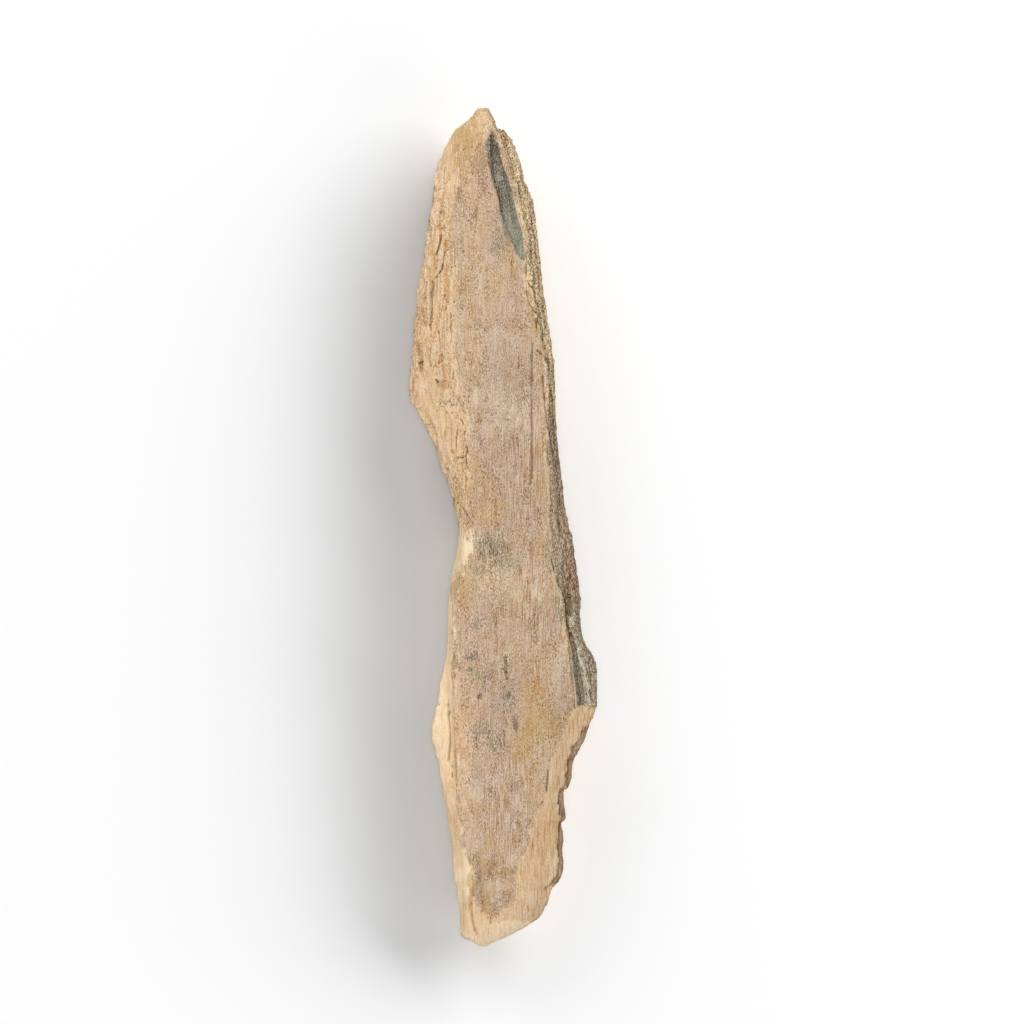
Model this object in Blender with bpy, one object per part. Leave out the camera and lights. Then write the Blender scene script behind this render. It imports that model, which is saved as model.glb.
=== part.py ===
"""Mammoth tusk fragment: a long splinter of mammoth ivory, split from the wall of the tusk.

Ivory grows in thin shells round the tusk's axis. One stained shell is the convex top face; the flanks are
broken across the shells, so they step down in ledges. The piece lies on a flat cleavage face.
+Y runs along the tusk to the pointed tip, +X is to the right of it and +Z is up. All sizes are in millimetres.
"""

import math

import bmesh
import bpy
import numpy as np
from mathutils import Vector, noise

MM = 0.001

LENGTH = 400.0          # tip to butt
HALF = LENGTH / 2
SHELL_RADIUS = 78.0     # curve of the top face across the tusk
SHELL_THICKNESS = 3.2   # one growth shell, the height of one broken ledge
SPLINTER_LENGTH = 42.0  # how far a splinter on a broken shell edge runs before it snaps off
BLADE_DEPTH = 2.8       # sunken strip beside the tip
POCKET_DEPTH = 3.6      # scooped hollow at the butt
GROOVE_DEPTH = 4.2      # slot between the top face and the flake on its right

IVORY_COLOUR = (0.53, 0.38, 0.25, 1.0)
IVORY_ROUGHNESS = 0.8

# Plan outline, seen from above: (place along the length, side), with a point wherever the break turns.
LEFT_OUTLINE = [
    (200, -10.0), (198, -12.5), (194, -18.0), (188.5, -23.5), (183, -26.5), (171.5, -31.5), (165.5, -32.5),
    (156, -32.7), (150, -34), (143, -35.5), (125.5, -38), (114, -40.5), (91, -42.5), (80, -43), (74, -44),
    (62.5, -44.8), (59, -43), (51, -38.5), (41.5, -33.5), (32, -29.5), (22.5, -25.7), (11, -23), (6.5, -21.2),
    (-6, -20.7), (-12, -21), (-18.5, -23.6), (-30, -25), (-35, -25.7), (-54, -25.7), (-63, -27.2), (-75, -30),
    (-84, -31), (-86, -31.8), (-92, -33.2), (-97.5, -33.8), (-103, -33.4), (-115, -31), (-126, -28.2),
    (-137.5, -26.2), (-155, -24), (-177.5, -21.7), (-195, -19.3), (-196.2, -16), (-200, -11.5),
]
RIGHT_OUTLINE = [
    (200, -8.5), (196, -6), (192.5, -4.5), (191, -3.3), (190.4, -1.0), (187.5, 2), (183, 4.5), (177, 6.7),
    (171.5, 8), (164.7, 9.3), (161, 11.5), (156, 13.3), (148.5, 14.5), (137, 16.2), (125.5, 17.2), (114, 18.4),
    (91, 21.7), (80, 23.6), (62.5, 24.8), (45.5, 25), (34, 26), (28.5, 27.2), (17, 27.7), (0, 30.5),
    (-5, 32.7), (-15.5, 33.6), (-23, 34.8), (-30, 36), (-46, 36), (-53, 37), (-57.5, 39.6), (-63, 42),
    (-69, 43.6), (-77.5, 44.8), (-86, 44.1), (-92, 42), (-97.5, 39.6), (-103, 35.8), (-109, 33.8),
    (-115, 32.9), (-123, 31.2), (-124.7, 28), (-131, 29.1), (-138.5, 30), (-140.4, 27), (-146, 28.6),
    (-166, 28.6), (-170, 25.3), (-175, 21.5), (-180.5, 20), (-186, 16.2), (-192.5, 8.6), (-195, 2.4),
    (-197.6, -2.9), (-200, -8.5),
]
# The two long edges of the stained top face. At the tip they meet in the ridge between its two broken facets.
LEFT_CREST = [
    (200, -9.5), (192, -7.6), (186, -7.2), (180, -12), (174, -19), (165.5, -23), (151, -25.3), (137, -24.3),
    (113, -23), (84.5, -23), (70, -21.5), (56, -18.6), (41.5, -15.7), (22.5, -15.7), (13, -17), (3.2, -17.5),
    (1.7, -14), (-10.5, -14.8), (-15.5, -17.6), (-30, -21.5), (-44, -23.2), (-82, -22.9), (-106, -21.9),
    (-130, -20.5), (-154, -19), (-168, -17.2), (-177.5, -17.6), (-195, -16), (-200, -10.6),
]
RIGHT_CREST = [
    (200, -9), (192, -6.2), (186, -4.3), (180, -1.4), (173, 1), (163, 3.8), (151, 5.7), (144, 8.6),
    (133, 11), (113, 12.9), (108.5, 13.3), (94, 16.2), (84.5, 18), (73, 20), (41.5, 21), (13, 23.4),
    (-15.5, 23.4), (-27, 26), (-35.5, 28), (-47.5, 29.6), (-61.5, 31.9), (-73, 33.4), (-84, 35.3), (-92, 31),
    (-106, 25.3), (-113, 22.4), (-125, 21.5), (-135, 18.6), (-148, 12), (-160, 7.2), (-177.5, 7.2),
    (-185, 4.3), (-190, -0.5), (-197, -6.2), (-200, -9.2),
]

# Heights along the length: (place, height).
CROWN_HEIGHT = [
    (200, 14.5), (192, 18.0), (180, 21.8), (160, 24.6), (130, 26.8), (90, 28.4), (30, 29.2), (-5, 28.2),
    (-25, 29.4), (-80, 29), (-120, 27.8), (-150, 25.2), (-172, 21.8), (-190, 16.5), (-200, 12.0),
]
LEFT_EDGE_HEIGHT = [
    (200, 12.8), (185, 13.0), (150, 14), (70, 13), (30, 11.5), (0, 9.5), (-60, 9), (-100, 7.5), (-150, 8.5), (-200, 8),
]
RIGHT_EDGE_HEIGHT = [
    (200, 12.8), (190, 14), (150, 16.5), (60, 18.5), (0, 17.5), (-60, 17), (-84, 18.5), (-110, 19.5),
    (-150, 16.5), (-180, 11.5), (-200, 8.2),
]
UNDERSIDE_LIFT = [(200, 11.0), (193, 7.2), (176, 2.6), (150, 0.0), (-150, 0.0), (-176, 1.6), (-192, 4.2), (-200, 6.6)]
# How far the foot of each side wall stands inside the outline.
LEFT_UNDERCUT = [(200, 0.2), (194, 1.5), (180, 5), (120, 9), (60, 10), (0, 3.5), (-60, 5), (-98, 9), (-130, 5), (-180, 4), (-200, 0.3)]
RIGHT_UNDERCUT = [(200, 0.2), (194, 1.5), (180, 4), (120, 8), (0, 9), (-60, 12), (-90, 15), (-120, 8), (-165, 7), (-190, 4), (-200, 0.3)]
# How soon the left flank falls away: 0 is an even slope, 1 a cliff beside the top face with a shelf below it,
# and below 0 there is a shoulder beside the top face first.
LEFT_CLIFF = [(200, 0.0), (12, 0.0), (2, -0.45), (-12, -0.4), (-24, 0.3), (-60, 0.5), (-80, 0.85), (-108, 0.9), (-130, 0.5), (-200, 0.4)]

# The sunken strip beside the tip: its middle line, and its half width, from its upper to its lower end.
BLADE_LINE = [(187, -4.6), (173, -2.4), (156, 1.3), (140, 4.8), (128, 9.6)]
BLADE_HALF_WIDTH = [(187, 0.6), (178, 2.8), (156, 4.2), (140, 3.8), (128, 1.2)]
# The hollow at the butt.
POCKET_CENTRE = (-174.0, -3.0)
POCKET_SIZE = (15.0, 10.0)
# The flake on the right stands between these places. Its lower end is one clean snap.
FLAKE_ENDS = (-12.0, -85.5)

# Section points round the piece, in order, starting at the left edge of the top face.
TOP_POINTS = 14
RIM_POINTS = 10
WALL_POINTS = 8
BASE_POINTS = 7
FLANK_POINTS = 14
ROW_SPACING = 5.8
END_ROWS = (1.4, 3.2, 5.2, 7.4, 10.0)          # closer rows, measured from each end
SHARP_BREAKS = (190.7, 2.4, -85.8, -124.0, -139.6)   # a close pair of rows at each
BREAK_HALF_GAP = 0.6
STAGGER = 0.24          # how far points stand off their row, as a share of the row spacing


def along(table, place):
    """The value that a table of (place along the length, value) gives at a place."""
    points = sorted(table)
    return float(np.interp(place, [p[0] for p in points], [p[1] for p in points]))


def smooth_step(low, high, value):
    share = min(max((value - low) / (high - low), 0.0), 1.0)
    return share * share * (3 - 2 * share)


def roughness(x, y, z, grain, seed=0):
    """Seedless fractal noise between about -1 and 1, drawn out along the tusk as ivory breaks."""
    point = Vector((x / grain + 17.0 * seed, y / (2.6 * grain), z / grain))
    return noise.fractal(point, 1.0, 2.0, 3, noise_basis="PERLIN_ORIGINAL")


def row_places():
    """Where the sections stand along the length."""
    inner = HALF - END_ROWS[-1]
    count = round(2 * inner / ROW_SPACING)
    rows = list(np.linspace(-inner, inner, count))
    rows = [r for r in rows if min(abs(r - b) for b in SHARP_BREAKS) > ROW_SPACING / 2]
    for place in SHARP_BREAKS:
        rows += [place - BREAK_HALF_GAP, place + BREAK_HALF_GAP]
    for inset in END_ROWS[:-1]:
        rows += [HALF - inset, inset - HALF]
    return sorted(rows + [-HALF, HALF])


def shell_drop(x, y):
    """How far the round of the tusk falls below the crown line at (x, y)."""
    crown_side = 0.5 * (along(LEFT_CREST, y) + along(RIGHT_CREST, y)) + 2.0
    return SHELL_RADIUS - math.sqrt(SHELL_RADIUS**2 - min(abs(x - crown_side), 60.0) ** 2)


def calm_ends(y):
    """A factor that takes the broken relief away at the two ends, where the sections shrink to a point."""
    return smooth_step(0.5, 14.0, HALF - abs(y))


def splinters(place, size, seed):
    """How far a broken shell edge stands out: splinters that taper along the tusk and then snap off short."""
    along_edge = place / SPLINTER_LENGTH + 0.37 * seed
    stretch = math.floor(along_edge)
    taper = along_edge - stretch
    if seed % 2:
        taper = 1 - taper
    width = 0.5 + 0.5 * noise.cell(Vector((stretch + 0.5, seed + 0.5, 0.5)))
    return size * (width * (1 - taper) + 0.35 * roughness(0, place, 0, 5.0, seed) - 0.25)


def ledged(depth, x, y):
    """A depth below the top shell, broken to whole shells. Each shell's edge splinters in its own places."""
    shells = depth / SHELL_THICKNESS + 0.45 * roughness(x, y, 0, 8.0, seed=1) * min(1.0, depth)
    step = math.floor(shells)
    edge = min(max(0.35 + splinters(y, 0.8, step + 3), 0.05), 0.8)
    terrace = SHELL_THICKNESS * (step + smooth_step(edge, edge + 0.2, shells - step))
    return 0.2 * depth + 0.8 * max(terrace, 0.0)


def blade(x, y):
    """The sunken strip: a sharp step down on its left, and a floor that rises to its right edge."""
    half_width = along(BLADE_HALF_WIDTH, y)
    side = (x - along(BLADE_LINE, y)) / half_width
    inside = smooth_step(-1.2, -0.9, side) * (1 - smooth_step(0.4, 1.15, side))
    ends = smooth_step(126, 140, y) * (1 - smooth_step(184, 189, y))
    return -BLADE_DEPTH * inside * ends


def pocket(x, y):
    """The hollow at the butt, steep on its left and upper sides, open towards the end."""
    along_y = (y - POCKET_CENTRE[0]) / POCKET_SIZE[0]
    across = (x - POCKET_CENTRE[1]) / POCKET_SIZE[1]
    if along_y < 0:
        along_y *= 0.62
    reach = math.hypot(along_y, across) + 0.16 * roughness(x, y, 3, 7.0, seed=2)
    return -POCKET_DEPTH * (1 - smooth_step(0.62, 1.08, reach))


def top_height(x, y):
    """The stained top face: one shell of the tusk, gently uneven, with the strip and the hollow sunk in it."""
    swell = 0.55 * roughness(x, y, 0, 30.0, seed=3)
    return along(CROWN_HEIGHT, y) - shell_drop(x, y) + swell + blade(x, y) + pocket(x, y)


def top_point(share, y):
    left, right = along(LEFT_CREST, y), along(RIGHT_CREST, y)
    x = left + (right - left) * share
    return x, top_height(x, y)


def edge_height(y, side):
    """The height of the outline's own edge, on the left (side -1) or the right (side +1)."""
    settled = along(RIGHT_EDGE_HEIGHT if side > 0 else LEFT_EDGE_HEIGHT, y)
    return settled + splinters(y, 3.5, 5 + side) * smooth_step(0, 45, HALF - abs(y))


def rim_relief(share, y):
    """The flake on the right: a slot beside the top face, then a rough ridge."""
    start, end = FLAKE_ENDS
    there = smooth_step(end - 0.4, end + 0.4, y) * (1 - smooth_step(start - 30, start, y))
    slot = smooth_step(0.0, 0.22, share) * (1 - smooth_step(0.3, 0.52, share))
    ridge = smooth_step(0.4, 0.68, share) * (1 - smooth_step(0.72, 1.0, share))
    return there * (1.3 * ridge - GROOVE_DEPTH * slot)


def rim_point(share, y):
    """Right of the top face, out to the outline: a rough broken band."""
    x_in, z_in = top_point(1.0, y)
    x_out, z_out = along(RIGHT_OUTLINE, y), edge_height(y, +1)
    width = x_out - x_in
    x = x_in + width * share
    depth = (z_in - z_out) * share**1.25
    fade = smooth_step(0.0, 0.2, share) * (1 - smooth_step(0.85, 1.0, share)) * calm_ends(y)
    broken = ledged(depth, x, y) * fade + depth * (1 - fade)
    coarse = 1.3 * roughness(x, y, 5, 5.0, seed=4) * math.sin(math.pi * share) ** 2 * calm_ends(y)
    return x, z_in - broken + (coarse + rim_relief(share, y)) * min(1.0, width / 6)


def flank_point(share, y):
    """Left of the top face, out to the outline. share is 0 at the outline and 1 at the top face."""
    x_in, z_in = top_point(0.0, y)
    x_out, z_out = along(LEFT_OUTLINE, y), edge_height(y, -1)
    cliff = along(LEFT_CLIFF, y)
    out = 1 - share
    x = x_in + (x_out - x_in) * out ** (1.0 + 1.2 * cliff)
    depth = (z_in - z_out) * out ** (1.15 - 0.55 * cliff)
    fade = smooth_step(0.0, 0.2, out) * (1 - smooth_step(0.85, 1.0, out)) * calm_ends(y)
    coarse = 1.2 * roughness(x, y, 9, 6.0, seed=5) * math.sin(math.pi * share) * calm_ends(y)
    broken = ledged(depth, x, y) * fade + depth * (1 - fade)
    return x, z_in - broken + coarse * min(1.0, (x_in - x_out) / 5)


def base_edge_left(y):
    return along(LEFT_OUTLINE, y) + along(LEFT_UNDERCUT, y)


def base_edge_right(y):
    return along(RIGHT_OUTLINE, y) - along(RIGHT_UNDERCUT, y)


def base_height(x, y):
    """The underside: a flat cleavage face, and beside it shells that broke off higher up."""
    left, right = base_edge_left(y), base_edge_right(y)
    share = (x - left) / max(right - left, 1e-6)
    edge = 3.4 * (1 - smooth_step(0.0, 0.22, share)) + 4.6 * smooth_step(0.72, 1.0, share)
    scar = max(0.0, 5.0 * roughness(x, y, 0, 15.0, seed=6) - 1.3)
    lift = along(UNDERSIDE_LIFT, y)
    return lift + ledged(edge * min(1.0, (right - left) / 20) + scar, x, y) * smooth_step(0, 40, HALF - abs(y))


def wall_point(share, y, side):
    """A side wall, from the outline (share 0) down to the underside (share 1), with shell edges standing out."""
    x_top = along(RIGHT_OUTLINE if side > 0 else LEFT_OUTLINE, y)
    x_foot = base_edge_right(y) if side > 0 else base_edge_left(y)
    z_top = edge_height(y, side)
    z_foot = base_height(x_foot, y)
    z = z_top + (z_foot - z_top) * share
    inset = (x_foot - x_top) * share**1.35
    room = min(1.0, abs(x_foot - x_top) / 4) * math.sin(math.pi * share) ** 2 * calm_ends(y)
    shell = math.floor((z + 2 * roughness(0, y, 0, 12.0, seed=8)) / SHELL_THICKNESS)
    shell_edge = splinters(y, 3.8, shell + 12 * side)
    return x_top + inset - side * shell_edge * room, z


def base_point(share, y):
    """share runs from the right foot to the left foot."""
    right, left = base_edge_right(y), base_edge_left(y)
    x = right + (left - right) * share
    return x, base_height(x, y)


def section_arcs():
    """The arcs that make up one section, in order: how many points each has, and where they lie."""
    return [
        (TOP_POINTS, top_point),
        (RIM_POINTS, rim_point),
        (WALL_POINTS, lambda share, y: wall_point(share, y, +1)),
        (BASE_POINTS, base_point),
        (WALL_POINTS, lambda share, y: wall_point(1 - share, y, -1)),
        (FLANK_POINTS, flank_point),
    ]


def staggered(places, row, column):
    """Where a point stands along the length: off its row, so that no break follows a row. Close rows stay put."""
    place = places[row]
    room = min(place - places[max(row - 1, 0)], places[min(row + 1, len(places) - 1)] - place)
    if room < 0.6 * ROW_SPACING:
        return place
    return place + STAGGER * room * noise.cell(Vector((row + 0.5, column + 0.5, 3.5)))


def wrap_sheet(name):
    """A flat grid wrapped round the sections, like bark round a log, with its seam and ends closed."""
    places = row_places()
    arcs = section_arcs()
    columns = [(point, step / count) for count, point in arcs for step in range(count)]
    columns.append(columns[0])
    sheet = bmesh.new()
    bmesh.ops.create_grid(sheet, x_segments=len(columns) - 1, y_segments=len(places) - 1, size=1.0)
    for vertex in sheet.verts:
        column = round((vertex.co.x + 1) / 2 * (len(columns) - 1))
        row = round((vertex.co.y + 1) / 2 * (len(places) - 1))
        point, share = columns[column]
        y = staggered(places, row, column % (len(columns) - 1))
        x, z = point(share, y)
        vertex.co = Vector((x, y, z)) * MM
    bmesh.ops.remove_doubles(sheet, verts=sheet.verts, dist=0.004 * MM)
    bmesh.ops.holes_fill(sheet, edges=[e for e in sheet.edges if e.is_boundary], sides=0)
    bmesh.ops.triangulate(sheet, faces=[f for f in sheet.faces if len(f.verts) > 4])
    bmesh.ops.recalc_face_normals(sheet, faces=sheet.faces)
    mesh = bpy.data.meshes.new(name)
    sheet.to_mesh(mesh)
    sheet.free()
    return mesh


def stand_at_origin(mesh):
    """Puts the lowest point at height 0 and the middle of the plan at the origin."""
    points = np.array([v.co for v in mesh.vertices])
    low, high = points.min(axis=0), points.max(axis=0)
    shift = -Vector(((low[0] + high[0]) / 2, (low[1] + high[1]) / 2, low[2]))
    for vertex in mesh.vertices:
        vertex.co += shift


def ivory():
    material = bpy.data.materials.new("mineralised_ivory")
    material.use_nodes = True
    shader = material.node_tree.nodes["Principled BSDF"]
    shader.inputs["Base Color"].default_value = IVORY_COLOUR
    shader.inputs["Roughness"].default_value = IVORY_ROUGHNESS
    shader.inputs["Metallic"].default_value = 0.0
    return material


def make_tusk_fragment():
    mesh = wrap_sheet("tusk_fragment")
    stand_at_origin(mesh)
    mesh.shade_smooth()
    mesh.set_sharp_from_angle(angle=math.radians(35))
    mesh.materials.append(ivory())
    piece = bpy.data.objects.new("tusk_fragment", mesh)
    bpy.context.scene.collection.objects.link(piece)


for old in list(bpy.data.objects):
    bpy.data.objects.remove(old)
make_tusk_fragment()
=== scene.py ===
"""Mammoth tusk fragment: one long splinter of mammoth ivory, lying on a pale floor under soft light.

Ivory grows in thin shells round the tusk's axis, and its fibres run along the tusk, which is +Y here. The top is
the outside of one shell, stained in the ground. The flanks are broken across the shells. Lengths are in
millimetres until they are put on a mesh.
"""

import math

import bmesh
import bpy
import numpy as np
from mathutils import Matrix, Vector, noise
from mathutils.bvhtree import BVHTree


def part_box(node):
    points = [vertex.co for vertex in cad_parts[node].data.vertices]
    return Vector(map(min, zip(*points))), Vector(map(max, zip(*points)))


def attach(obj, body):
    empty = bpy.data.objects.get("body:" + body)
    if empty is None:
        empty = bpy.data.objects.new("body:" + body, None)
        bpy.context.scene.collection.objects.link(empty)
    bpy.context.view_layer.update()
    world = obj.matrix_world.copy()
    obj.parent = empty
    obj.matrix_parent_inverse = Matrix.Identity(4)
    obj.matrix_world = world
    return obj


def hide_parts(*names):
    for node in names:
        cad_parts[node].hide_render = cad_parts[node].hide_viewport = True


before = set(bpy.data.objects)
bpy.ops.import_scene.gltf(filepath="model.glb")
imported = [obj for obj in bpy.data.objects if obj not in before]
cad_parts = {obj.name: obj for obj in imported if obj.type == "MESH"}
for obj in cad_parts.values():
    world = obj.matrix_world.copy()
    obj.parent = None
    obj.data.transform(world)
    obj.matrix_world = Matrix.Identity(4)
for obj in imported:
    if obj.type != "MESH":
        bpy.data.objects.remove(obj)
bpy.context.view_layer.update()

# ----------------------------------------------------------------------------------------------------------------
# The splinter's blank. One piece of ivory from the wall of the tusk. Its solid is rounded a little, keeping the
# sharp breaks, and cut into small even cells, with smaller ones on top, on the breaks and along the cracks.

MM = 0.001
CELL = 2.1              # size of an even cell
SHARP = 30.0            # degrees: a break sharper than this keeps part of its edge
KEPT_EDGE = 0.7
NEAR_BREAK = 1.5        # the cells are smaller from this far inside the stained face
NEAR_CRACK = 0.4        # and from this far beside a crack

# Each round of cutting smaller cells, and how far up the surface has to face for it.
ROUNDS = {"top": -0.5, "breaks": 0.15, "cracks": 0.15}

# The edges of the stained face, from the tip to the butt. Outside them the ivory is broken.
LEFT_EDGE = [
    (-7.4, 192), (-7.4, 186), (-12, 180), (-19, 174), (-22.5, 165), (-24.5, 151), (-24.5, 137), (-23, 113),
    (-22.5, 84), (-21, 70), (-18.6, 56), (-15.7, 41), (-15.5, 24), (-17, 13), (-17.5, 3), (-14, 1.5),
    (-14.5, -10), (-18, -16), (-21.5, -30), (-23, -44), (-22.8, -82), (-22, -106), (-20.5, -130), (-18.5, -154),
    (-15, -162), (-14.5, -174), (-12, -181), (-7, -186), (-3, -197),
]
RIGHT_EDGE = [
    (-6, 190), (-3.4, 186), (0, 180), (2.5, 172), (5, 163), (7, 151), (9.6, 144), (11.4, 133), (12.3, 113),
    (14, 104), (16.2, 94), (18.5, 84), (20, 72), (21, 41), (22.5, 13), (23.2, -15), (26, -27), (28, -35),
    (29.6, -47), (32, -61), (33.5, -73), (34.5, -84), (31.5, -90), (27, -102), (23, -110), (22.3, -120),
    (20, -127), (16, -137), (12, -149), (7.2, -160), (6.4, -168), (6.4, -177), (2, -183), (-5, -187), (-9, -197),
]

# Cracks and slots seen from above, each as its line of (x, y), its half width and its depth.
CRACKS = [
    # the long furrow down the stained face, and fainter ones above it
    ([(14.1, 87), (13.8, 70), (13.6, 51), (13.7, 37), (13.8, 27), (13.1, 21)], 0.7, 0.45),
    ([(4.2, 127), (4.1, 116), (6.1, 108), (6.8, 103)], 0.4, 0.2),
    ([(6.2, 26), (5.1, 24), (4.4, 21.8)], 0.4, 0.4),
    ([(-12.9, 152), (-12.6, 146), (-13.4, 141), (-13.1, 133)], 0.5, 0.3),
    # a loosened block in the middle of the left edge, and a jagged step above it
    ([(-21.7, 46.5), (-22.0, 40), (-21.7, 33.6), (-19.6, 33.2), (-17.6, 34.1)], 0.6, 0.9),
    ([(-20.1, 51.3), (-18.1, 47.7), (-18.1, 40.3), (-16.9, 37), (-17.7, 33.8), (-17.3, 30.4)], 0.6, 1.0),
    ([(-31.0, 57.5), (-29.1, 60), (-26.5, 58.8), (-25.3, 60.6), (-24.4, 58.2), (-21.9, 58.4)], 0.35, 0.5),
    ([(-26.1, 47.6), (-26.2, 44.0)], 0.3, 0.5),
    ([(-27.7, 45.7), (-27.3, 41.5)], 0.3, 0.5),
    # the lower end of the dirty skin at the waist
    ([(-24.5, 15.5), (-21.5, 12), (-18.6, 9), (-16.5, 5), (-14.3, 1.8)], 0.5, 0.6),
    # fissures between the shells of the upper left flank
    ([(-27.0, 132), (-28.2, 127), (-29.0, 122.8), (-31.2, 120), (-33.2, 117)], 0.5, 1.2),
    ([(-29.6, 139), (-30.0, 135.6), (-31.0, 132.3), (-31.5, 129.9)], 0.6, 1.2),
    ([(-33.3, 117), (-34.0, 110), (-34.1, 105), (-34.2, 98)], 0.9, 1.4),
    ([(-34.2, 98), (-34.6, 91), (-34.4, 84), (-34.1, 76.7)], 0.45, 0.8),
    ([(-29.9, 97), (-30.2, 90), (-30.0, 84), (-30.4, 78)], 0.45, 0.9),
    ([(-24.9, 102), (-24.4, 95), (-24.8, 87)], 0.4, 0.6),
    ([(-31.9, 70.3), (-31.0, 69.2), (-28.6, 69.5), (-25.7, 69.9)], 0.4, 0.8),
    ([(-40.6, 79.0), (-39.6, 78.2), (-38.0, 78.6)], 0.4, 0.7),
    # splits in the rough right edge
    ([(11.2, 131), (11.1, 119), (12.6, 115.5), (14.6, 112.6), (18.3, 108), (19.8, 104.5)], 0.45, 0.9),
    ([(11.3, 113), (12.3, 107), (14.3, 103.5), (16.2, 101.5), (16.2, 94)], 0.4, 0.8),
    ([(16.4, 84), (19.0, 82), (20.6, 78)], 0.4, 0.9),
    ([(19.3, 72), (19.7, 61), (20.7, 50), (22.4, 39), (24.0, 33)], 0.5, 1.1),
    ([(22.4, 68), (23.4, 51), (23.8, 36), (24.6, 24)], 0.5, 1.1),
    # the line where the stained face meets the flake, and the flake's own ridges
    ([(23.1, -15), (25.2, -23), (27.9, -31), (29.5, -40), (30.0, -49)], 0.45, 1.0),
    ([(30.0, -49), (31.2, -57), (31.9, -64), (32.9, -72), (33.9, -80), (34.2, -86.5)], 0.35, 0.5),
    ([(30.4, -24), (32.5, -38), (33.8, -50)], 0.45, 0.8),
    ([(39.5, -62), (40.0, -70), (41.5, -79)], 0.45, 0.8),
    # the lower left strip, and the slot and ledge that part its lobe
    ([(-24.4, -28), (-23.5, -39), (-23.2, -49), (-22.6, -58), (-24.1, -70), (-23.2, -76)], 0.35, 0.4),
    ([(-26.0, -82.5), (-26.2, -88), (-25.4, -94), (-25.2, -103), (-25.8, -111)], 0.8, 1.6),
    ([(-31.7, -84.8), (-29.6, -84.4), (-26.0, -84.8)], 0.6, 1.2),
    ([(-24.2, -112), (-24.1, -119)], 0.3, 0.6),
    ([(-21.7, -122), (-21.5, -130), (-20.6, -138), (-19.5, -140)], 0.35, 0.6),
    # short splits in the lower stained face, and round the pocket by the butt
    ([(1.2, -61), (1.4, -67), (1.8, -72)], 0.5, 0.5),
    ([(21.9, -113), (21.3, -119), (20.5, -126), (18.6, -131)], 0.4, 0.7),
    ([(-12.6, -156), (-10.4, -162), (-11.9, -168), (-14.0, -173.5), (-14.8, -179)], 1.8, 0.6),
    ([(-14.8, -179), (-14.6, -187), (-12.6, -194)], 0.8, 0.5),
]


def step(low, high, value):
    """0 below low, 1 above high, and a smooth rise between. It falls instead where high is the lower one."""
    share = np.clip((value - low) / (high - low), 0, 1)
    return share * share * (3 - 2 * share)


def line_distance(points, line):
    """How far each point lies from a line of (x, y), seen from above."""
    best = np.full(len(points), 1e9)
    for start, end in zip(line[:-1], line[1:]):
        start, run = np.array(start), np.array(end) - np.array(start)
        share = np.clip((points[:, :2] - start) @ run / (run @ run), 0, 1)
        best = np.minimum(best, np.hypot(*(points[:, :2] - start - share[:, None] * run).T))
    return best


def beside(line, heights):
    """The x of a line of (x, y) at each of some heights y."""
    points = sorted(line, key=lambda point: point[1])
    return np.interp(heights, [point[1] for point in points], [point[0] for point in points])


def places_and_facings(mesh):
    """The place of every vertex in millimetres, and the way it faces."""
    places = np.empty(len(mesh.vertices) * 3)
    facings = np.empty(len(mesh.vertices) * 3)
    mesh.vertices.foreach_get("co", places)
    mesh.vertex_normals.foreach_get("vector", facings)
    return places.reshape(-1, 3) / MM, facings.reshape(-1, 3)


shaping = bmesh.new()
shaping.from_mesh(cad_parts["tusk_fragment"].data)
bmesh.ops.remove_doubles(shaping, verts=shaping.verts, dist=0.001 * MM)
any_angle = math.pi     # the triangles only cut up the solid's larger faces, so all that can be are joined
bmesh.ops.join_triangles(
    shaping, faces=shaping.faces, angle_face_threshold=any_angle, angle_shape_threshold=any_angle,
)
kept = shaping.edges.layers.float.new("crease_edge")
for edge in shaping.edges:
    if edge.calc_face_angle(0) > math.radians(SHARP):
        edge[kept] = KEPT_EDGE
blank_mesh = bpy.data.meshes.new("blank")
shaping.to_mesh(blank_mesh)
shaping.free()

blank = bpy.data.objects.new("blank", blank_mesh)
bpy.context.scene.collection.objects.link(blank)
rounding = blank.modifiers.new("rounding", "SUBSURF")
rounding.levels = 2
rounding.render_levels = 2
skin = BVHTree.FromObject(blank, bpy.context.evaluated_depsgraph_get())
cells = blank.modifiers.new("even_cells", "REMESH")
cells.mode = "VOXEL"
cells.voxel_size = CELL * MM
mesh = bpy.data.meshes.new_from_object(blank.evaluated_get(bpy.context.evaluated_depsgraph_get()))
bpy.data.objects.remove(blank)

for finer, least_up in ROUNDS.items():
    places, facings = places_and_facings(mesh)
    x, y = places[:, 0], places[:, 1]
    near = np.full(len(places), finer == "top")
    if finer == "breaks":   # as far down as they are rough, and the ground round the strip of blue mineral
        near = (x - beside(LEFT_EDGE, y) < NEAR_BREAK) & (y > -14)
        near |= (beside(RIGHT_EDGE, y) - x < NEAR_BREAK) & (y > -88)
        near |= (y > 125) & (x > beside(RIGHT_EDGE, y) - 9)
    if finer == "cracks":
        for line, half_width, depth in CRACKS:
            near |= line_distance(places, line) < half_width + NEAR_CRACK
    near &= facings[:, 2] > least_up
    shaping = bmesh.new()
    shaping.from_mesh(mesh)
    cut_edges = [edge for edge in shaping.edges if near[edge.verts[0].index] and near[edge.verts[1].index]]
    bmesh.ops.subdivide_edges(shaping, edges=cut_edges, cuts=1, use_grid_fill=True)
    bmesh.ops.triangulate(shaping, faces=[face for face in shaping.faces if len(face.verts) > 4])
    shaping.to_mesh(mesh)
    shaping.free()
for vertex in mesh.vertices:
    vertex.co = skin.find_nearest(vertex.co)[0]
mesh.update()

# ----------------------------------------------------------------------------------------------------------------
# The breaks. On the flanks the shells end in stepped ledges, fissures part them, and the fibres stand up in
# splinters. Fresher breaks are smooth, with only the fibres' grain. All of it is worked in by moving vertices.

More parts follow.
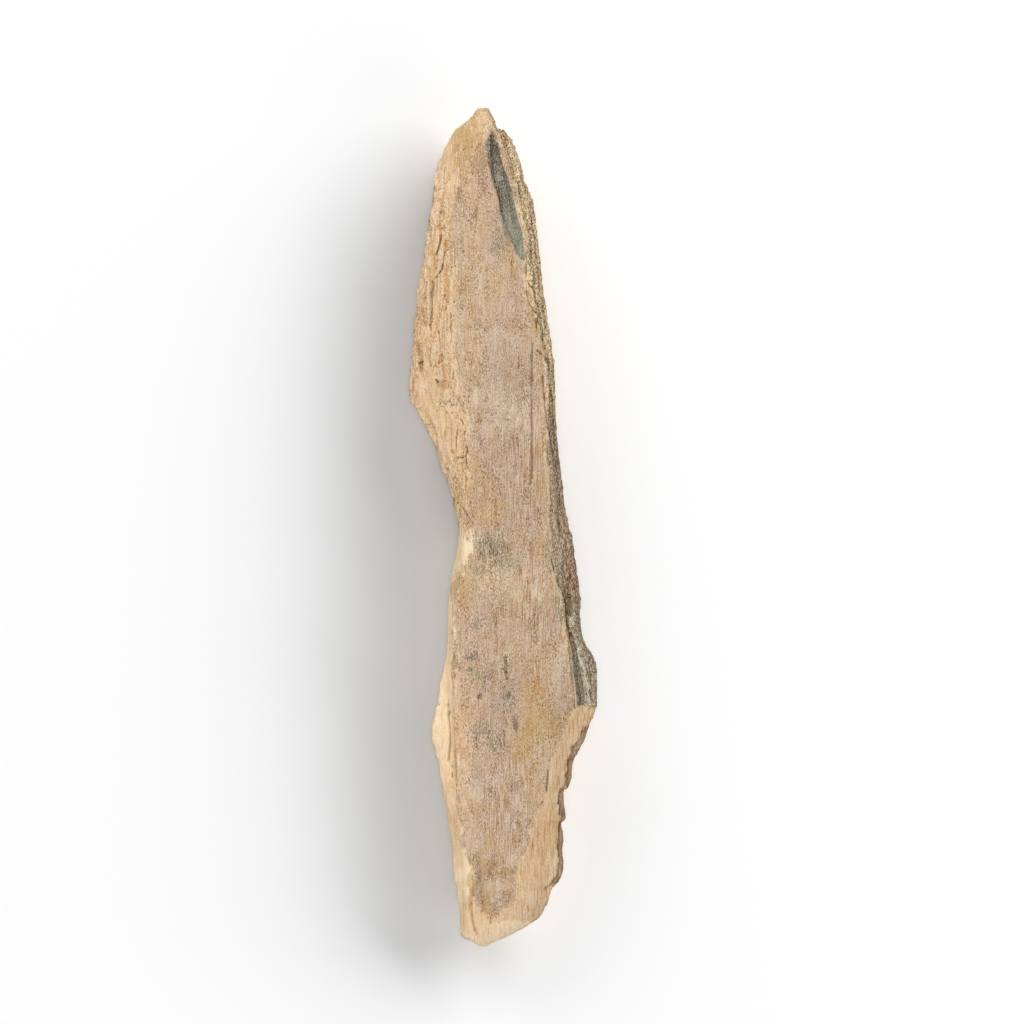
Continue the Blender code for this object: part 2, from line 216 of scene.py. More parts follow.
AXIS_HEIGHT = -49.0     # the tusk's axis lies this far below the floor
AXIS_RADIUS = 78.0      # and this far from the top of the stained face
SHELL = 2.4             # thickness of the shells that show as ledges

ends = np.empty(len(mesh.edges) * 2, int)
mesh.edges.foreach_get("vertices", ends)
one, other = np.concatenate([ends[0::2], ends[1::2]]), np.concatenate([ends[1::2], ends[0::2]])
neighbours = np.bincount(one)
places, facings = places_and_facings(mesh)
x, y = places[:, 0], places[:, 1]
up = facings[:, 2]


def levelled(values, times):
    """The rows of values at the vertices, averaged so many times over each vertex's neighbours."""
    for _ in range(times):
        sums = [np.bincount(one, weights=column[other]) for column in values.T]
        values = np.stack(sums, axis=1) / neighbours[:, None]
    return values


def wander(across, lengthwise, seed, octaves=3):
    """Noise at every vertex, about -1 to 1. Its grain is so many millimetres across and along the tusk."""
    spots = places / (across, lengthwise, across) + 31.7 * seed
    basis = "PERLIN_ORIGINAL"
    return np.array([noise.fractal(Vector(spot), 1.0, 2.0, octaves, noise_basis=basis) for spot in spots])


def snapped(across, lengthwise, seed):
    """One value from -1 to 1 for each splinter of so many millimetres across and along the tusk."""
    bend = wander(across, lengthwise, seed, octaves=2)
    spots = places / (across, lengthwise, across) + 17.3 * seed + 0.35 * bend[:, None]
    return np.array([noise.cell(Vector(spot)) for spot in spots])


def ovals(patches, edge_noise=0.0):
    """How far inside the nearest of some ovals (x, y, half width, half length) a vertex is: 1 at its middle."""
    depth = np.zeros(len(places))
    for centre_x, centre_y, half_x, half_y in patches:
        depth = np.maximum(depth, 1 - np.hypot((x - centre_x) / half_x, (y - centre_y) / half_y) + edge_noise)
    return depth


ragged = 0.9 * wander(3, 9, 1) + 0.5 * wander(1.5, 2.5, 2)
past_left = beside(LEFT_EDGE, y) - x + ragged
past_right = x - beside(RIGHT_EDGE, y) + ragged
outside = np.maximum(past_left, past_right)
broken = 1 - step(0.5, -0.5, outside) * step(0.3, 0.5, up)
below_waist = step(4, -14, y)
above_feather = step(-86, -84.5, y)
below_flake = step(-84, -86, y)
butt = step(-184, -190, y)

# Fresher breaks: the lower left strip with its lobe, the feathered break at the lower right, and the butt. The
# facet by the tip and the one in the middle of the left flank are older but as smooth. The pale colours of the
# fresher breaks have softer and more ragged edges than the breaks themselves.
SMOOTH_OVALS = [(-20, 180, 15, 34), (-34, 62, 9, 18), (-27, 44, 9, 18)]
fresh = np.maximum(below_waist * step(0, 1, past_left), butt) * broken
right_break = below_flake * step(-0.5, 0.8, past_right)
feather = right_break * (1 - fresh)
smooth = step(0.0, 0.55, ovals(SMOOTH_OVALS, 0.15 * wander(5, 14, 32))) * step(0, 1, past_left) * broken
right_rim = step(-0.5, 1.0, past_right) * above_feather
feather_stain = below_flake * step(-2.2, 2.2, past_right + 1.3 * wander(2.5, 6, 38)) * (1 - fresh)
fresh_stain = step(-2.5, 2.5, past_left + 1.5 * wander(3, 7, 36)) * below_waist
fresh_stain = np.maximum(fresh_stain, butt * broken)

# The flake that sprang off the right edge. Its bed is a smooth dark groove beside the stained face, closed by a
# low pale ridge, and beyond the ridge it is rough.
FLAKE_RIDGE = [
    (24.5, -5), (27.2, -20), (31.0, -34.6), (33.2, -46.5), (35.4, -56), (38.0, -66), (40.2, -76), (41.2, -84),
]
past_ridge = x - beside(FLAKE_RIDGE, y) + 0.3 * wander(2, 7, 29)
flake = step(-0.2, 0.6, past_right) * above_feather * step(-24, -44, y + 8 * step(1, -1, past_ridge))
flake_bed = flake * step(0.2, -0.4, past_ridge)
flake_ridge = flake * step(0.8, 0.1, np.abs(past_ridge)) * step(-28, -40, y)
grey_patch = step(-1.5, 1, past_right) * step(4, -3, y) * step(-44, -30, y) * step(2.5, 0, past_ridge)

# The smooth breaks are levelled before their own grain goes on. The feathered one is levelled again, first in
# height alone, which takes the solid's ledges out of it. Its outline is left as it is: the inset is how far in from
# the outline on the right each vertex lies, in rows of a millimetre.
worn = np.maximum(np.maximum(fresh, feather), smooth) * step(-0.3, 0.2, up)
places += levelled(worn[:, None], 3) * (levelled(places, 10) - places)
rows = np.round(y - y.min()).astype(int)
reach = np.zeros(rows.max() + 1)
np.maximum.at(reach, rows, x)
inset = reach[rows] - x
flat = levelled((step(-84, -90, y) * step(-3, 2, past_right) * step(0.5, 3.0, inset))[:, None], 6)
places[:, 2:] += flat * (levelled(places[:, 2:], 60) - places[:, 2:])
places += flat * (levelled(places, 8) - places)
mesh.vertices.foreach_set("co", (places * MM).ravel())
mesh.update()
places, facings = places_and_facings(mesh)
x, y, z = places.T
up = facings[:, 2]

# The relief: how far each vertex moves out. Rough breaks have ledges, fissures and splinters, and the right rim
# has crumbs and a raised shoulder. The rest has the low relief of fibres. The lower right outline is chipped.
rough = broken * (1 - fresh) * (1 - right_break) * (1 - 0.85 * smooth) * (1 - 0.85 * flake_bed)
middle = 0.5 * (beside(LEFT_EDGE, y) + beside(RIGHT_EDGE, y)) + 2
shell_depth = AXIS_RADIUS - np.hypot(x - middle, z - AXIS_HEIGHT)
shell = shell_depth / SHELL + 0.5 * wander(9, 60, 3) + 0.1 * wander(3, 20, 4) + 0.14 * snapped(5, 26, 17)
ledge = (shell % 1.0) ** 2.0
ledge_height = 1.5 + 0.7 * wander(16, 45, 5)
fissure = step(0.05, 0.0, np.abs(wander(4, 34, 6, octaves=2))) * step(0.0, 0.3, wander(7, 16, 30))
splinters = 0.35 * wander(2.8, 34, 7) + 0.1 * wander(1.5, 5, 8)

shelved = rough * step(-0.5, 3.5, outside)
relief = shelved * (1 - 0.55 * right_rim) * (ledge_height * (ledge - 0.3) - 1.2 * fissure + splinters)
relief += (broken - shelved) * (0.1 * wander(1.4, 14, 23) + 0.06 * wander(1.3, 2.5, 24))
crumbs = 0.5 * wander(1.8, 3.4, 9) + 0.4 * wander(1.2, 2, 19)
relief += right_rim * (1 - flake_bed) * step(0.2, 0.6, up) * crumbs
relief += 0.8 * right_rim * (1 - flake_bed) * step(0.15, 0.45, up) * step(0.95, 0.75, up)
relief += 0.6 * flake_ridge - 0.2 * flake_bed
chipped_edge = step(2.3, 0.9, inset + 1.2 * wander(2, 6, 37)) * right_break
chipped_edge *= step(-92, -97, y) * step(-174, -168, y)
relief -= 0.9 * chipped_edge * step(0.2, 0.6, up)
relief += 0.1 * fresh * wander(5, 30, 22) + feather * (0.16 * wander(1.3, 20, 33) + 0.08 * wander(1.2, 3, 35))
relief += (1 - broken) * (0.12 * wander(1.6, 40, 10) + 0.2 * wander(5, 9, 11) + 0.09 * wander(1.6, 2.6, 12))
relief -= 0.3 * rough * step(8, 0.5, outside)

# The rounding of the blank drew its outline in, so it is let out again: more at some bulges, less where small
# chips are missing. Each is an oval (x, y, half width, half length) and how much more it is let out.
LET_OUT = 0.75
BULGES = [
    ((44, -66, 9, 16), 1.3), ((20, -184, 13, 14), 1.5), ((38, -106, 8, 14), 1.3), ((-8, 196, 6, 10), 0.8),
    ((-1, 191, 4, 3.2), -1.8), ((-18, 196, 7, 8), -0.8), ((-36, 150, 6, 30), -0.7), ((-42, 105, 6, 22), -0.5),
    ((-33, -98, 6, 9), 1.2), ((-22, -166, 5, 6), 1.6), ((-19, -195, 4.5, 4.5), 0.9), ((-22, 5, 6, 18), -0.6),
]
# Down the lower right side it runs out in small steps: (how much more it is let out, y).
STEPS = [
    (0.0, -112), (0.6, -123.5), (-0.1, -124.6), (0.0, -131), (0.8, -138.8), (0.1, -139.9), (0.3, -150),
    (-0.4, -153), (0.4, -162), (0.0, -165), (0.3, -170), (-0.6, -172), (0.0, -178),
]
side_on = np.hypot(facings[:, 0], facings[:, 1])
let_out = LET_OUT + sum(more * step(0.0, 0.7, ovals([oval])) for oval, more in BULGES)
let_out += beside(STEPS, y) * step(15, 20, x)
relief += let_out * side_on ** 2

WIDE = 0.7              # a crack wider than this is open all along, and one much wider is only a soft groove
# How dark each crack and pit is painted: partly dirt and partly painted shade, darker the deeper and narrower it
# is.
crack_dirt_and_shade = np.zeros(len(places))
gaps_in_line = step(-0.45, 0.0, wander(2.5, 5, 25))
jitter = 0.35 * wander(1.5, 4, 13, octaves=2)
for line, half_width, depth in CRACKS:
    away = line_distance(places, line) + jitter
    cut = step(half_width, 0.1 * half_width, away) * step(-0.2, 0.1, up)
    if half_width < WIDE:
        cut *= gaps_in_line
    relief -= depth * cut
    crack_dirt_and_shade = np.maximum(crack_dirt_and_shade, cut * min(1.0, 0.3 + depth) * (WIDE / max(WIDE, half_width)) ** 2)

# Hollows and pits: where chips fell out. (x, y, half width, half length) and depth.
HOLLOWS = [
    ((-26.6, 134.7, 2.0, 3.4), 1.8),        # beside the upper left fissure
    ((-20.6, 159.0, 1.2, 5.0), 1.2),
    ((-38.6, 77.5, 2.0, 1.8), 1.2),
    ((-29.4, 80.5, 1.4, 2.8), 1.0),
    ((-28.6, 67.6, 4.2, 3.0), 0.6),         # under a small ledge
    ((-23.9, 36.0, 1.0, 1.4), 0.9),         # beside the loosened block
    ((9.1, 94.2, 1.2, 1.0), 1.0),
    ((-11.4, 50.6, 1.4, 1.2), 1.3),
    ((-5.4, 50.0, 1.0, 0.9), 0.8),
    ((8.9, 33.8, 1.0, 0.9), 0.8),
    ((-25.6, -88.5, 1.2, 1.4), 1.4),
    ((-11.0, -80.1, 0.9, 1.8), 0.6),
    ((2.4, -79.4, 1.2, 2.4), 0.5),
    ((21.0, -172.4, 1.2, 1.6), 1.0),
]
pit_noise = 0.25 * wander(2, 3, 15, octaves=2)
for oval, depth in HOLLOWS:
    pit = step(0.0, 0.5, ovals([oval], pit_noise)) * step(0.0, 0.3, up)
    relief -= depth * pit
    # A pit is painted a little darker too: painted shade.
    crack_dirt_and_shade = np.maximum(crack_dirt_and_shade, 0.2 * pit)

# The strip of blue mineral by the tip lies in a shallow bed, with a low ridge on its right.
BLADE_LEFT = [
    (-6.1, 187.5), (-8.4, 183.5), (-5.9, 169.3), (-2.9, 159.1), (-0.8, 149), (3.8, 136.7), (6.3, 130.6),
    (9.0, 126.5),
]
BLADE_RIGHT = [
    (-5.7, 187.5), (-2.6, 183.5), (0.7, 170.3), (4.6, 159.1), (6.3, 149), (9.2, 138.8), (10.3, 128.6),
    (10.2, 126.5),
]
in_blade = np.minimum(x - beside(BLADE_LEFT, y), beside(BLADE_RIGHT, y) - x) + 0.3 * wander(1.5, 3, 16, octaves=2)
along_blade = step(126, 128, y) * step(188, 186, y) * step(-0.2, 0.1, up)
blade = step(-0.3, 0.3, in_blade) * along_blade
bank = step(-1.8, -0.9, in_blade) * step(0.1, -0.5, in_blade) * along_blade * (x > beside(BLADE_RIGHT, y) - 0.5)
relief = relief * (1 - 0.6 * blade) - 0.35 * blade + 0.25 * bank

# Nothing moves where the splinter rests on the floor, and nothing leaves the solid's box.
places = places + facings * (relief * step(0.1, 1.5, z))[:, None]
low, high = (np.array(corner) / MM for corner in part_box("tusk_fragment"))
places = np.clip(places, low, high)
mesh.vertices.foreach_set("co", (places * MM).ravel())
mesh.update()
mesh.shade_smooth()

# The hollows are painted darker, partly for the dirt in them and partly as painted shade, and the ridges are
# painted a little paler, partly rubbed and partly a painted highlight. So the colour needs how deep each vertex
# lies among its neighbours.
places, facings = places_and_facings(mesh)
hollow_dirt_and_shade = ((levelled(places, 6) - places) * facings).sum(axis=1)

# ----------------------------------------------------------------------------------------------------------------
# The stains. Iron, manganese and blue vivianite soaked into the outer shells in patches. Each patch is a ragged
# oval, (x, y), half width, half length, and its strength is kept on the vertices for the material to read.

STAINS = {
    "mauve": [
        (1, 94, 16, 22), (3, 70, 20, 30), (-1, 37, 24, 26), (6, 8, 20, 18), (-11, -54, 17, 24), (-1, -82, 17, 28),
        (20, -44, 10, 20), (-6, -111, 24, 20), (-1, -139, 20, 20), (1, -176, 6, 10), (27, -82, 9, 15),
    ],
    "rust": [
        (0, 189, 4, 4), (-11, 173, 6, 14), (-9, 163, 5, 8), (1, 184, 4, 8), (40, -56, 3.6, 5.7),
        (34, -20, 7, 26), (-4, 175, 2, 8), (2, 170, 3.6, 7), (14, -26, 1.6, 1.6), (39, -54, 2.8, 2.8),
    ],
    "orange": [(-42, 92, 4, 36), (17, -79, 4, 2.6), (16, -74, 2.6, 6), (40, -90, 7, 5)],
    "bloom": [
        (-19, 105, 5, 17), (-1, 87, 12, 9), (-6, 77, 10, 7), (1, 61, 17, 9), (-11, 63, 8, 7), (-4, 46, 9, 8),
        (6, 51, 7, 7), (27, -68, 7, 16), (3, -61, 8, 8), (-16, -125, 8, 7), (8, -30, 20, 5), (20, 74, 2.8, 5.7),
        (-4, -23, 10, 5), (-2, -171, 8, 9), (-15, 116, 9, 18),
    ],
    "ochre": [
        (12, -27, 3.6, 3.2), (15, -77, 7, 9), (17, -95, 15, 19), (9, -104, 10, 11), (23, -92, 7, 10),
        (-17, 112, 8, 18), (-6, 8, 12, 9), (-20, -30, 8, 12), (-7, -158, 9, 4), (1, -163, 8, 3),
        (-14, -168, 2.6, 11), (-17, -178, 2.6, 8), (18, 97, 5.7, 9), (20, 85, 4, 8), (-15, 30, 7, 4),
        (-19, 184, 10, 22), (-19, 16, 8, 11),
    ],
    "green": [
        (-5, -9, 12, 11), (1, -18, 11, 6), (23, -10, 4.5, 13), (-11, -19, 8, 6), (-13, -48, 2.8, 7),
        (-10, -97, 9, 6), (-5, -102, 5.7, 4), (27, -39, 4.2, 10), (-1, 139, 5.7, 14), (-40, 85, 2.8, 9),
        (-3, 132, 8, 6), (-13, -69, 5.7, 4), (3, -82, 4.2, 4.2),
    ],
    "manganese": [
        (-1, -85, 11, 13), (3, -77, 7, 9), (-7, -92, 7, 9), (6, -94, 5.7, 12), (0, -104, 9, 8),
        (-5, -68, 2.8, 5), (-9, -74, 2, 4), (-11, -80, 2.2, 3.6), (2, -79, 2.8, 3.6), (-1, -99, 4, 5.7),
        (1, -67, 1.6, 6), (-12, -116, 4, 4), (-7, -125, 9, 3.6), (6, -123, 5.7, 7), (-4, -9, 10, 8),
    ],
    "tan": [
        (-26, -140, 8, 36), (-16, -186, 14, 14), (22, -142, 9, 20), (-19, 178, 13, 26), (-20, -105, 7, 48),
        (13, -168, 12, 16),
    ],
    "dun": [
        (2, 22, 24, 36), (0, -8, 22, 14), (0, -68, 24, 16), (2, -42, 24, 16), (30, -80, 9, 15), (0, 74, 20, 20),
    ],
    "smudges": [
        (1, -66, 1.6, 5), (-6, -70, 2.6, 5), (-9, -74, 1.6, 3.4), (-11, -80, 1.5, 3.2), (2, -79.5, 2.6, 5),
        (5.5, -90.5, 3, 5.5), (-14.5, -60, 5, 3),
    ],
    "combed": [(3, -133, 14, 34), (-5, -9, 14, 13), (14, -40, 10, 40), (10, 30, 12, 40)],
}
up = facings[:, 2]
x = places[:, 0] + 1.8 * wander(6, 12, 20)
y = places[:, 1] + 4.0 * wander(8, 12, 21)


def keep_on_vertices(name, values):
    """Stores one value for each vertex under a name that the material reads."""
    layer = mesh.attributes.new(name, "FLOAT", "POINT")
    layer.data.foreach_set("value", np.clip(values, 0, 1).astype(np.float32))


for stain, patches in STAINS.items():
    keep_on_vertices(stain, ovals(patches) * step(-0.2, 0.3, up))

# The fibres follow the tusk's bend, so the grain is laid out from the height of its crest at each place along it.
CREST_SPAN = 27         # the crest is evened out over this much of its length
crest = np.zeros(rows.max() + 1)
np.maximum.at(crest, rows, places[:, 2])
window = np.hanning(CREST_SPAN) / np.hanning(CREST_SPAN).sum()
crest = np.convolve(np.pad(crest, CREST_SPAN // 2, mode="edge"), window, mode="valid")
crest_here = np.interp(places[:, 1] - places[:, 1].min(), range(len(crest)), crest)
grain_places = places - np.outer(crest_here, (0, 0, 1))
layer = mesh.attributes.new("grain_place", "FLOAT_VECTOR", "POINT")
layer.data.foreach_set("vector", grain_places.astype(np.float32).ravel())

blade_head = blade * step(138, 156, y)
keep_on_vertices("broken", step(-6.5, 5.5, outside + 3.0 * wander(7, 16, 26)) * 0.8 + broken * 0.2)
keep_on_vertices("fresh", fresh_stain)
keep_on_vertices("feather", feather_stain)
keep_on_vertices("right_rim", right_rim)
keep_on_vertices("rim_low", right_rim * step(75, 35, y))
keep_on_vertices("flake", flake)
keep_on_vertices("flake_bed", flake_bed)
keep_on_vertices("flake_ridge", flake_ridge)
keep_on_vertices("grey_patch", grey_patch)
keep_on_vertices("blade", blade)
keep_on_vertices("blade_head", blade_head)
# Painted shade on the steep right side where it faces away from the light, and along the chipped lower right
# outline.
painted_shade_patches = step(0.55, 0.2, up) * step(0, 1, past_right) * step(-0.4, 0.1, wander(3, 14, 34))
keep_on_vertices("painted_edge_shade", np.maximum(0.4 * painted_shade_patches, chipped_edge))
# Cracks, fissures and pits painted dark: dirt and painted shade.
keep_on_vertices("crack_dirt_and_shade", crack_dirt_and_shade + 0.4 * shelved * fissure)
# How deep each vertex lies among its neighbours: dirt and painted shade in the hollows, a painted highlight on the
# ridges.
keep_on_vertices("hollow_dirt_and_shade", np.clip(0.5 + hollow_dirt_and_shade * (0.8 + 1.2 * rough), 0.42, 0.9))
grit = 0.5 + 0.4 * wander(5, 9, 31) + 0.5 * right_rim + 0.1 * ovals([(-12, 168, 14, 34)])
grit += 0.3 * blade_head - 0.2 * (blade - blade_head) - 0.2 * flake_bed
grit += -0.25 * smooth - 0.4 * feather - 0.4 * fresh
keep_on_vertices("grit", grit)

# ----------------------------------------------------------------------------------------------------------------
# Mineralised ivory: dry, dull and fibrous, tan on the broken shells and pink-grey on the stained face. Grains and
# short fibres about a millimetre long catch dirt, which makes the fine dark specks between paler ones.

DEEPER = 3.0            # the grain runs this much further inwards than across
LEAST_POWER = 0.65      # the palest grain is no paler than this power makes it


def paint(hex_value):
    """An sRGB hex colour as the linear colour that a shader takes."""
    parts = [int(hex_value[place:place + 2], 16) / 255 for place in (0, 2, 4)]
    return [part / 12.92 if part <= 0.04045 else ((part + 0.055) / 1.055) ** 2.4 for part in parts] + [1.0]


def add(material, kind, *inputs, output=None, **settings):
    """Adds a node and returns an output of it. The inputs, values or outputs, fill its sockets in order."""
    node = material.node_tree.nodes.new(kind)
    for name, value in settings.items():
        setattr(node, name, value)
    sockets = [socket for socket in node.inputs if socket.enabled]
    for socket, value in zip(sockets, inputs):
        if isinstance(value, bpy.types.NodeSocket):
            material.node_tree.links.new(value, socket)
        elif value is not None:
            socket.default_value = paint(value) if isinstance(value, str) else value
    return node.outputs[output] if output else next(socket for socket in node.outputs if socket.enabled)


ivory = bpy.data.materials.new("mineralised_ivory")
ivory.use_nodes = True
shader = ivory.node_tree.nodes["Principled BSDF"]
shader.inputs["IOR"].default_value = 1.54
shader.inputs["Specular IOR Level"].default_value = 0.2
shader.inputs["Roughness"].default_value = 0.85
grain_place = add(ivory, "ShaderNodeAttribute", output="Vector", attribute_name="grain_place")


def ivory_grain(across, lengthwise, detail, seed):
    """A pattern from 0 to 1 with a grain of so many millimetres across and along the tusk."""
    size = (1 / across, 1 / lengthwise, 1 / across / DEEPER)
    spot = add(ivory, "ShaderNodeMapping", grain_place, (seed, seed, seed), (0, 0, 0), size)
    return add(ivory, "ShaderNodeTexNoise", spot, 1.0, detail, 0.55)


def weighted(*pairs):
    """The sum of some outputs, each times its own weight, with every pattern's middle taken as nothing."""
    total = 0.0
    for pattern, weight in pairs:
        centred = add(ivory, "ShaderNodeMath", pattern, 0.5, operation="SUBTRACT")
        total = add(ivory, "ShaderNodeMath", centred, weight, total, operation="MULTIPLY_ADD")
    return total


# The pores and fibres that dirt picks out are taken to be a tenth of a millimetre wide. These specks, dashes and
# lines are drawn three to five times as coarse, so that they show.
specks = ivory_grain(0.3, 0.4, 0.0, 3)
dashes = ivory_grain(0.3, 1.1, 0.0, 5)
lines = ivory_grain(0.55, 9, 1.0, 6)
streaks = ivory_grain(1.5, 18, 2.0, 9)
mottle = ivory_grain(2.4, 4.5, 1.0, 7)
clouds = ivory_grain(8, 14, 3.0, 8)

# Each layer of colour: where it lies, the pattern that breaks it up, from which value to which it comes in, how
# strong it is, and its colour.
LAYERS = [
    ("mauve", mottle, 0.0, 0.9, 0.5, "BFA38F"),
    ("bloom", mottle, -0.05, 0.8, 0.5, "D8C5AB"),
    ("manganese", mottle, 0.15, 0.8, 0.3, "8F7C6E"),
    ("smudges", dashes, 0.1, 0.6, 0.7, "78685B"),
    ("dun", clouds, 0.0, 0.5, 0.4, "B3967B"),
    ("broken", mottle, 0.35, 0.7, 0.85, "E3C299"),
    ("broken", streaks, 0.95, 1.25, 0.45, "AF8D62"),
    ("fresh", mottle, 0.35, 0.7, 0.9, "F4D8B1"),
    ("fresh", lines, 1.1, 1.25, 0.2, "C9A074"),
    ("feather", mottle, 0.35, 0.7, 0.9, "DFBD95"),
    ("feather", lines, 1.05, 1.2, 0.5, "B38C62"),
    ("tan", mottle, 0.1, 0.6, 0.5, "DDB488"),
    ("ochre", mottle, 0.1, 0.6, 0.6, "BC9862"),
    ("green", dashes, 0.1, 0.8, 0.55, "8E8A70"),
    ("right_rim", mottle, 0.35, 0.65, 0.85, "F2D4A6"),
    ("rim_low", mottle, 0.2, 0.7, 0.8, "A88F75"),
    ("right_rim", specks, 1.0, 1.2, 0.6, "EBD8B6"),
    ("right_rim", dashes, 1.08, 1.22, 0.65, "735637"),
    ("orange", mottle, 0.15, 0.7, 0.45, "C9946A"),
    ("grey_patch", mottle, 0.3, 0.7, 0.8, "BCAA8E"),
    ("rust", dashes, 0.2, 0.8, 0.55, "9C7461"),
    ("flake", mottle, 0.3, 0.6, 0.95, "AD9E84"),
    ("flake_bed", mottle, 0.3, 0.7, 0.9, "ACA693"),
    ("flake", specks, 1.05, 1.2, 0.5, "D8CBB0"),
    ("flake", dashes, 1.08, 1.22, 0.6, "665A43"),
    ("blade", mottle, 0.4, 0.6, 1.0, "918F7E"),
    ("blade_head", mottle, 0.3, 0.7, 0.9, "8A8474"),
    ("blade_head", specks, 1.05, 1.2, 0.7, "B2AB99"),
    ("blade_head", dashes, 1.05, 1.2, 0.8, "55503F"),
    ("flake_ridge", mottle, 0.2, 0.7, 0.9, "DCCDAE"),
    # painted shade on the steep right side and along the chipped lower right outline
    ("painted_edge_shade", mottle, 0.3, 0.8, 0.7, "705C44"),
]
colour = add(ivory, "ShaderNodeMix", add(ivory, "ShaderNodeMapRange", clouds, 0.4, 0.62), "C8A985", "C9AA8E",
             data_type="RGBA")
for name, pattern, low, high, strength, tint in LAYERS:
    stored = add(ivory, "ShaderNodeAttribute", output="Fac", attribute_name=name)
    patchy = weighted((pattern, 1.6))
    patchy = add(ivory, "ShaderNodeMath", patchy, stored, operation="ADD")
    present = add(ivory, "ShaderNodeMath", stored, 0.001, operation="GREATER_THAN")
    share = add(ivory, "ShaderNodeMapRange", patchy, low, high, 0.0, strength, interpolation_type="SMOOTHSTEP")
    share = add(ivory, "ShaderNodeMath", share, present, operation="MULTIPLY")
    colour = add(ivory, "ShaderNodeMix", share, colour, tint, data_type="RGBA")

# Broad unevenness, the dirt and painted shade in hollows with the painted highlight on ridges, and the grain of
# pores and fibres: a power above 1 darkens the colour and one below 1 pales it. The grain is stronger where the
# surface is gritty, and drawn out in lines where it is combed.
grit, combed, dirt_and_shade_share, crack_dirt_and_shade_share = (
    add(ivory, "ShaderNodeAttribute", output="Fac", attribute_name=name)
    for name in ("grit", "combed", "hollow_dirt_and_shade", "crack_dirt_and_shade")
)
grain_depth = add(ivory, "ShaderNodeMapRange", grit, 0.1, 0.9, 0.75, 2.3)
line_depth = add(ivory, "ShaderNodeMapRange", combed, 0.0, 0.6, 0.9, 2.6)
speck_depth = add(ivory, "ShaderNodeMath", grain_depth, 0.75, operation="MULTIPLY")
power = weighted((dirt_and_shade_share, 1.2), (mottle, -0.3), (clouds, -0.5), (specks, speck_depth),
                 (dashes, grain_depth), (lines, line_depth))
power = add(ivory, "ShaderNodeMath", power, 1.0, operation="ADD")
power = add(ivory, "ShaderNodeMath", power, LEAST_POWER, operation="MAXIMUM")
colour = add(ivory, "ShaderNodeGamma", colour, power)

# Dirt in the widest pores and gaps. The cracks, fissures and pits are painted dark brown, partly for dirt and
# partly as painted shade.
pores = add(ivory, "ShaderNodeMapRange", weighted((specks, 1.0), (grit, 0.3)), 0.17, 0.25,
            interpolation_type="SMOOTHSTEP")
gaps = add(ivory, "ShaderNodeMapRange", weighted((dashes, 1.0), (grit, 0.3)), 0.2, 0.28,
           interpolation_type="SMOOTHSTEP")
dirt = add(ivory, "ShaderNodeMath", pores, gaps, operation="MAXIMUM")
dirt = add(ivory, "ShaderNodeMath", dirt, 0.6, operation="MULTIPLY")
colour = add(ivory, "ShaderNodeMix", dirt, colour, "6E5438", data_type="RGBA")
crack_dirt_and_shade_share = add(ivory, "ShaderNodeMath", crack_dirt_and_shade_share, 0.8, operation="MULTIPLY")
colour = add(ivory, "ShaderNodeMix", crack_dirt_and_shade_share, colour, "6E5233", data_type="RGBA")

depth = add(ivory, "ShaderNodeMath", dirt, -1.0, operation="MULTIPLY")
bump = add(ivory, "ShaderNodeBump", 0.6, 0.2 * MM, None, depth, output="Normal")
ivory.node_tree.links.new(colour, shader.inputs["Base Color"])
ivory.node_tree.links.new(bump, shader.inputs["Normal"])

mesh.materials.clear()
mesh.materials.append(ivory)
mesh.name = "tusk_splinter"
splinter = bpy.data.objects.new("tusk_splinter", mesh)
bpy.context.scene.collection.objects.link(splinter)
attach(splinter, "root")
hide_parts("tusk_fragment")

# ----------------------------------------------------------------------------------------------------------------
# The floor: a plain white sheet, matt, wide enough that its edge is never seen. It lies a hair below the face the
# splinter rests on, so that the two surfaces don't coincide.

paper = bpy.data.materials.new("white_paper")
paper.use_nodes = True
sheet_shader = paper.node_tree.nodes["Principled BSDF"]
sheet_shader.inputs["Base Color"].default_value = paint("F6F6F6")
sheet_shader.inputs["Roughness"].default_value = 1.0
sheet_shader.inputs["Specular IOR Level"].default_value = 0.0

sheet = bmesh.new()
bmesh.ops.create_grid(sheet, x_segments=1, y_segments=1, size=4.0)
bmesh.ops.translate(sheet, verts=sheet.verts, vec=(0, 0, -0.2 * MM))
floor_mesh = bpy.data.meshes.new("floor")
sheet.to_mesh(floor_mesh)
sheet.free()
floor_mesh.materials.append(paper)
floor = bpy.data.objects.new("floor", floor_mesh)
bpy.context.scene.collection.objects.link(floor)

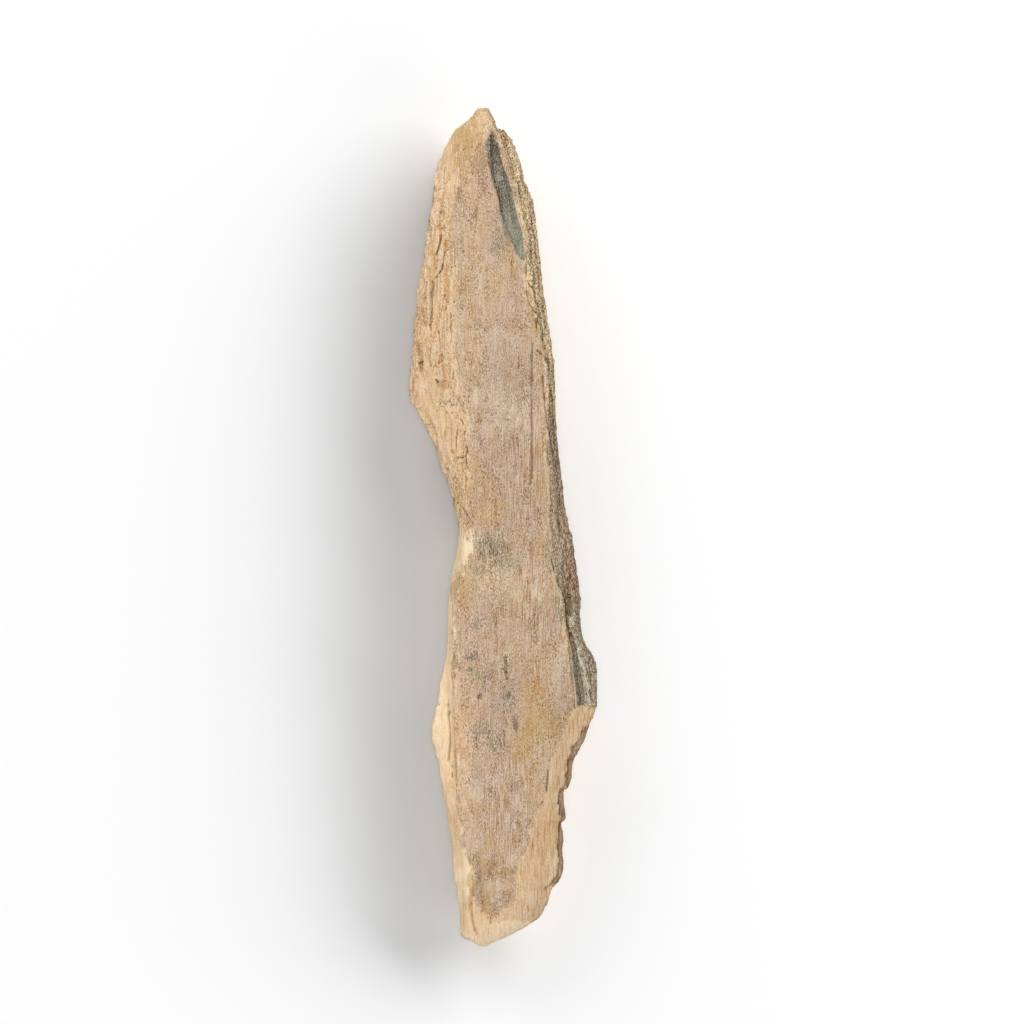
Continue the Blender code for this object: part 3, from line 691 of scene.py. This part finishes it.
# ----------------------------------------------------------------------------------------------------------------
# The light. A soft lamp high on the upper left models the ivory. The others light only the floor: long low ones
# far off, mostly on the upper right, draw the wide soft shadow there. White light from all round fills in.


def soft_lamp(name, place, width, height, watts, lit):
    """A lamp that faces the splinter and lights one thing alone."""
    lamp = bpy.data.lights.new(name, "AREA")
    lamp.shape = "RECTANGLE"
    lamp.size = width
    lamp.size_y = height
    lamp.energy = watts
    holder = bpy.data.objects.new(name, lamp)
    holder.location = place
    holder.rotation_euler = Vector(place).to_track_quat("Z", "Y").to_euler()
    bpy.context.scene.collection.objects.link(holder)
    holder.visible_camera = False
    holder.light_linking.receiver_collection = bpy.data.collections.new(name)
    holder.light_linking.receiver_collection.objects.link(lit)


soft_lamp("modelling_lamp", (-0.9, 0.8, 4.2), 2.0, 2.0, 150, splinter)
soft_lamp("upper_right_lamp", (12.4, 9.6, 4.3), 22.0, 5.0, 6100, floor)
soft_lamp("upper_left_lamp", (-6.6, 13.8, 3.9), 12.0, 4.0, 1430, floor)
soft_lamp("lower_right_lamp", (11.0, -11.0, 3.4), 12.0, 4.0, 780, floor)
soft_lamp("overhead_lamp", (0.0, 0.0, 6.0), 2.0, 2.0, 46, floor)

world = bpy.data.worlds.new("white_surroundings")
world.use_nodes = True
world.node_tree.nodes["Background"].inputs["Color"].default_value = (1, 1, 1, 1)
world.node_tree.nodes["Background"].inputs["Strength"].default_value = 0.3
bpy.context.scene.world = world
bpy.context.scene.view_settings.view_transform = "Standard"

# ----------------------------------------------------------------------------------------------------------------
# The camera looks straight down through a long lens. The view is 488 mm wide at the height of the splinter's
# edges.

VIEW_WIDTH = 488.2
VIEW_CENTRE = (4.3, 7.4)
EDGE_HEIGHT = 14.0
lens = bpy.data.cameras.new("camera")
lens.lens = 200
lens.sensor_width = 36
camera = bpy.data.objects.new("camera", lens)
camera_height = EDGE_HEIGHT + VIEW_WIDTH * lens.lens / lens.sensor_width
camera.location = (VIEW_CENTRE[0] * MM, VIEW_CENTRE[1] * MM, camera_height * MM)
bpy.context.scene.collection.objects.link(camera)
bpy.context.scene.camera = camera
